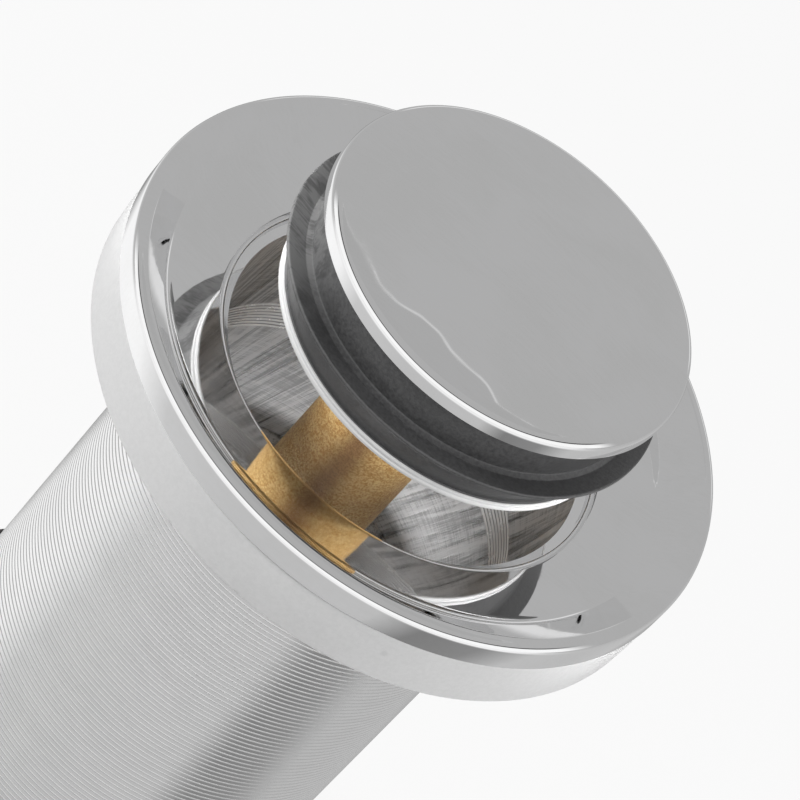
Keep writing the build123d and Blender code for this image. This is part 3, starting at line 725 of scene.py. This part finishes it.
def makeWorld(spec):
    world = bpy.data.worlds.new("studio")
    bpy.context.scene.world = world
    world.use_nodes = True
    tree = world.node_tree
    way = addNode(tree, "ShaderNodeSeparateXYZ", {0: addNode(tree, "ShaderNodeTexCoord").outputs["Generated"]}).outputs
    # White in front of the object up to mid height, a dark slit above that, a pale horizon behind, even grey
    # elsewhere, and high behind it a card with an uneven, bright lower edge
    ahead = ramp(tree, way[1], 1.0, 0.0, 0.12, 0.34)
    low = ramp(tree, way[2], 1.0, 0.0, 0.40, 0.44)
    beyond = calc(tree, "MULTIPLY", ramp(tree, way[1], 0.0, 1.0, 0.90, 0.93),
                  ramp(tree, way[2], 1.0, 0.0, 0.13, 0.19))
    pale = calc(tree, "MULTIPLY", ahead, low)
    between = calc(tree, "MULTIPLY", ramp(tree, way[2], 0.0, 1.0, 0.44, 0.46),
                   ramp(tree, way[2], 1.0, 0.0, 0.52, 0.55))
    slit = calc(tree, "MULTIPLY", ahead, between)
    middle = blendColours(tree, beyond, grey(spec["sky"]), grey(spec["far"]))
    lower = blendColours(tree, pale, middle, grey(spec["front"]))
    swing = calc(tree, "SINE", calc(tree, "MULTIPLY_ADD", way[0], spec["waves"], spec["wavePhase"]))
    wave = calc(tree, "MULTIPLY", swing, spec["waveHeight"])
    end = calc(tree, "MAXIMUM", calc(tree, "SUBTRACT", spec["endFrom"], way[0]), 0.0)
    bend = calc(tree, "MULTIPLY", calc(tree, "MULTIPLY", end, end), spec["endCurve"])
    drop = calc(tree, "MINIMUM", bend, spec["endDrop"])
    tilted = calc(tree, "MULTIPLY_ADD", way[0], spec["edgeTilt"], way[2])
    edge = calc(tree, "ADD", calc(tree, "SUBTRACT", tilted, calc(tree, "ADD", wave, spec["edgeHeight"])), drop)
    behind = ramp(tree, way[1], 0.0, 1.0, 0.02, 0.12)
    card = calc(tree, "MULTIPLY", ramp(tree, edge, 0.0, 1.0, -0.0006, 0.0006), behind)
    rim = calc(tree, "MULTIPLY", ramp(tree, calc(tree, "ABSOLUTE", edge), 1.0, 0.0, 0.0006, 0.0022), behind)
    upper = blendColours(tree, card, lower, grey(spec["card"]))
    edged = blendColours(tree, rim, upper, grey(spec["card"] * 1.5))
    pattern = blendColours(tree, slit, edged, grey(spec["slit"]))
    seen = directRays(tree, addNode(tree, "ShaderNodeLightPath").outputs)
    colour = blendColours(tree, seen, grey(spec["light"]), pattern)
    tree.links.new(colour, tree.nodes["Background"].inputs[0])


def makeLamp(name, place, aim, size, power, glossy=True, spread=180):
    light = bpy.data.lights.new(name, "AREA")
    light.shape = "RECTANGLE"
    light.spread = radians(spread)
    light.size, light.size_y = size
    light.energy = power
    lamp = bpy.data.objects.new(name, light)
    bpy.context.scene.collection.objects.link(lamp)
    lamp.location = place
    lamp.rotation_euler = (Vector(aim) - Vector(place)).to_track_quat("-Z", "Y").to_euler()
    lamp.visible_camera = False
    lamp.visible_glossy = glossy


makeFloor({
    "radius": 4.0, "drop": 0.0002, "diffuse": 0.88, "glow": 0.86, "front": 0.95, "back": 0.45, "left": 1.05,
    "cards": [(0.045, 1.0), (0.11, 0.58), (0.22, 0.50), (0.355, 0.50), (0.395, 0.14), (0.45, 0.18), (0.50, 0.5),
              (0.62, 0.52), (0.70, 0.26), (0.84, 0.26), (0.90, 1.0)],
})
makeWorld(studio)
makeLamp("keyLamp", (-0.78, -0.30, 0.56), (0, 0, 0.08), (0.26, 0.20), 4.4, glossy=False)
makeLamp("fillLamp", (0.78, -0.14, 0.56), (0, 0, 0.08), (0.20, 0.20), 3.4, glossy=False)
# Narrow lamps aimed in under the plug at the column, and one inside the tail that lights the bore from below
makeLamp("columnLeft", (-0.11, -0.03, 0.125), (0, 0, 0.083), (0.012, 0.012), 0.0006, glossy=False, spread=12)
makeLamp("columnRight", (0.11, -0.04, 0.125), (0, 0, 0.083), (0.012, 0.012), 0.0005, glossy=False, spread=12)
makeLamp("tailLamp", (-0.004, 0, 0.003), (0, 0, 0.08), (0.026, 0.026), 0.010)


# Camera: a long lens that looks down at the plug with the axis leaning to the right
camera = {
    "lens": 202.5, "down": 40.454, "roll": 42.4, "distance": 0.42478, "offset": (-0.003295, -0.003602), "aim": 0.090,
}


def makeCamera(spec):
    down, roll = radians(spec["down"]), radians(spec["roll"])
    ahead = Vector((0, cos(down), -sin(down)))
    flat, tall = Vector((1, 0, 0)), Vector((0, sin(down), cos(down)))
    right = cos(roll) * flat + sin(roll) * tall
    up = -sin(roll) * flat + cos(roll) * tall
    data = bpy.data.cameras.new("camera")
    data.lens = spec["lens"]
    data.sensor_width = 36
    data.clip_start = 0.01
    made = bpy.data.objects.new("camera", data)
    bpy.context.scene.collection.objects.link(made)
    centre = Vector((0, 0, spec["aim"])) + right * spec["offset"][0] + up * spec["offset"][1]
    place = centre - ahead * spec["distance"]
    made.matrix_world = Matrix.Translation(place) @ Matrix((right, up, -ahead)).transposed().to_4x4()
    bpy.context.scene.camera = made


makeCamera(camera)
bpy.context.scene.view_settings.view_transform = "Standard"
